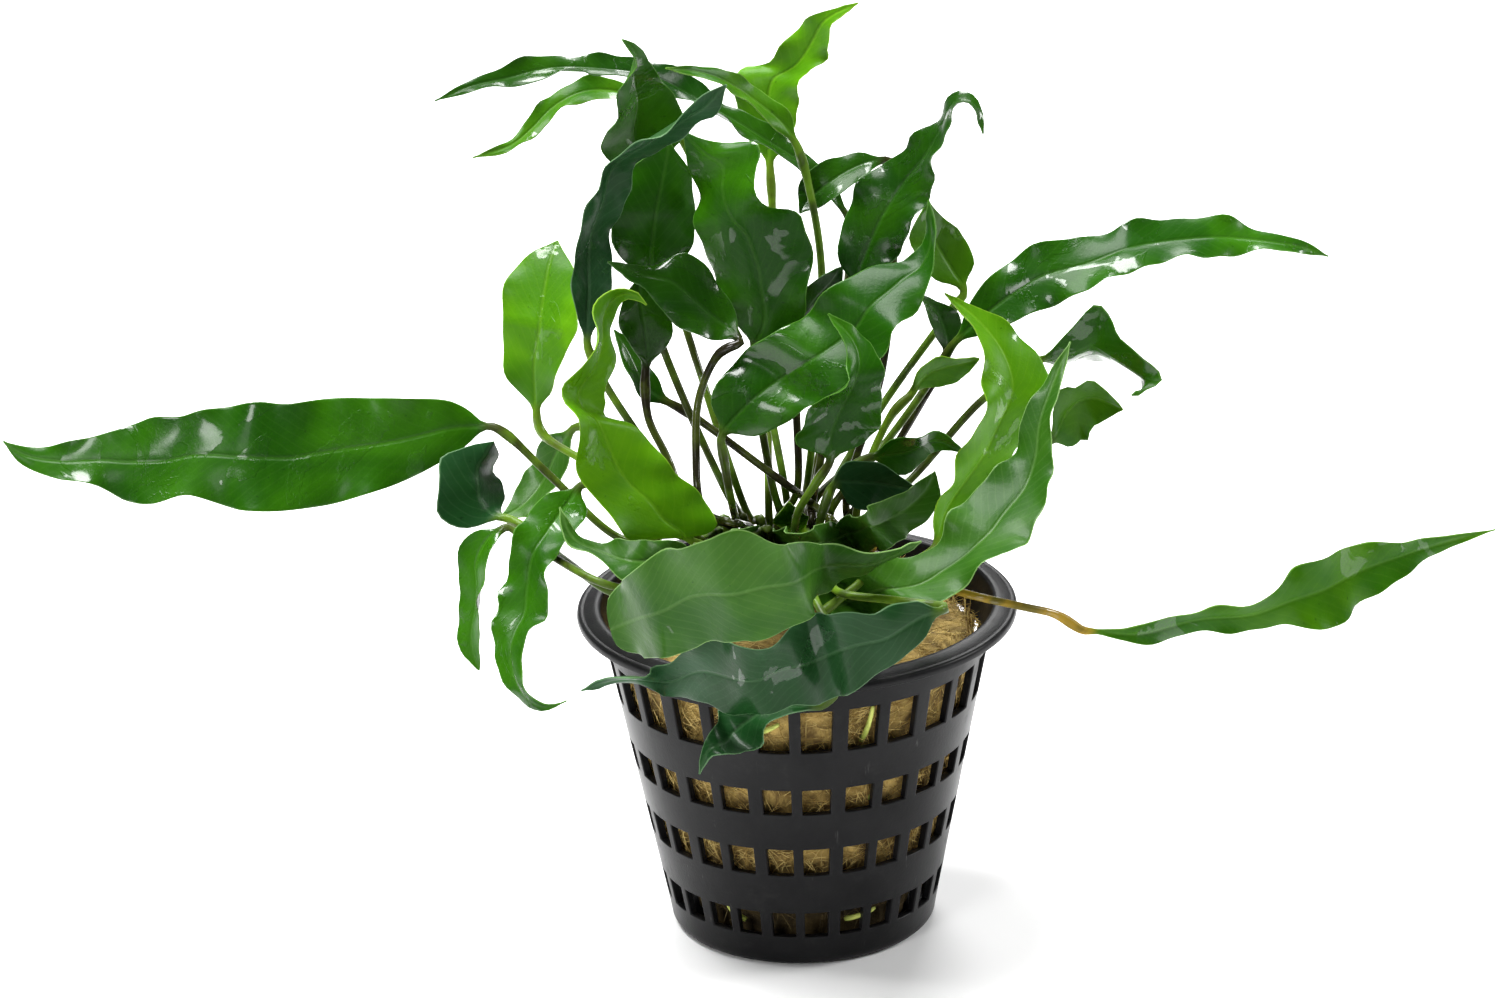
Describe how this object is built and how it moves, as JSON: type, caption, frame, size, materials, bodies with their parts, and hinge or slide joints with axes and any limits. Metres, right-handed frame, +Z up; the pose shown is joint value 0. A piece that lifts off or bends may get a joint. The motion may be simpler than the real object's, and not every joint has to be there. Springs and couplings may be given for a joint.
{
  "type": "potted aquarium plant",
  "caption": "Water plant with long wavy leaves on thin stalks, rooted on a creeping stem over a wool plug in a slotted net pot.",
  "frame": {"origin": "centre of the pot's flat underside, where it stands", "axes": "+Z up along the pot's axis, -Y towards the show side, +X to the right seen from the show side"},
  "size_m": [0.1949, 0.0861, 0.119],
  "materials": {
    "pot_plastic": "satin",
    "wool": "matte",
    "rhizome": "matte",
    "leaf_bright": "gloss",
    "leaf_deep": "gloss",
    "leaf_satin": "satin",
    "leaf_dark": "satin"
  },
  "bodies": {
    "root": {"net_pot": "pot_plastic", "wool_plug": "wool", "rhizome": "rhizome", "leaf_bright_wave": "leaf_bright", "leaf_bright_oval": "leaf_bright", "leaf_bright_twist": "leaf_bright", "leaf_dark_low": "leaf_bright", "leaf_pale_small": "leaf_bright", "leaf_pale_pointed": "leaf_bright", "leaf_young": "leaf_bright", "leaf_arch_under": "leaf_bright", "leaf_far_left": "leaf_deep", "leaf_hooked_top": "leaf_deep", "leaf_broad_wet": "leaf_deep", "leaf_broad_pale": "leaf_deep", "leaf_dark_diagonal": "leaf_deep", "leaf_gable": "leaf_deep", "leaf_long_right": "leaf_deep", "leaf_top_back": "leaf_deep", "leaf_top_arch": "leaf_deep", "leaf_far_right": "leaf_deep", "leaf_crumpled_right": "leaf_deep", "leaf_thread_tip": "leaf_deep", "leaf_glint": "leaf_deep", "leaf_front_broad": "leaf_satin", "leaf_front_right": "leaf_satin", "leaf_grey_left": "leaf_satin", "leaf_rim_back": "leaf_satin", "leaf_front_lowest": "leaf_satin", "leaf_rim_left": "leaf_satin", "leaf_dark_curl": "leaf_dark", "leaf_left_twist": "leaf_dark", "leaf_left_tail": "leaf_dark", "leaf_long_arch": "leaf_dark", "leaf_dark_sweep": "leaf_dark", "leaf_dark_point": "leaf_dark", "leaf_dark_hidden": "leaf_dark", "leaf_left_point": "leaf_dark", "leaf_small_upright": "leaf_dark", "leaf_front_low": "leaf_dark", "leaf_long_thread": "leaf_dark", "leaf_dark_back": "leaf_dark", "leaf_dark_stub": "leaf_dark"}
  },
  "joints": []
}
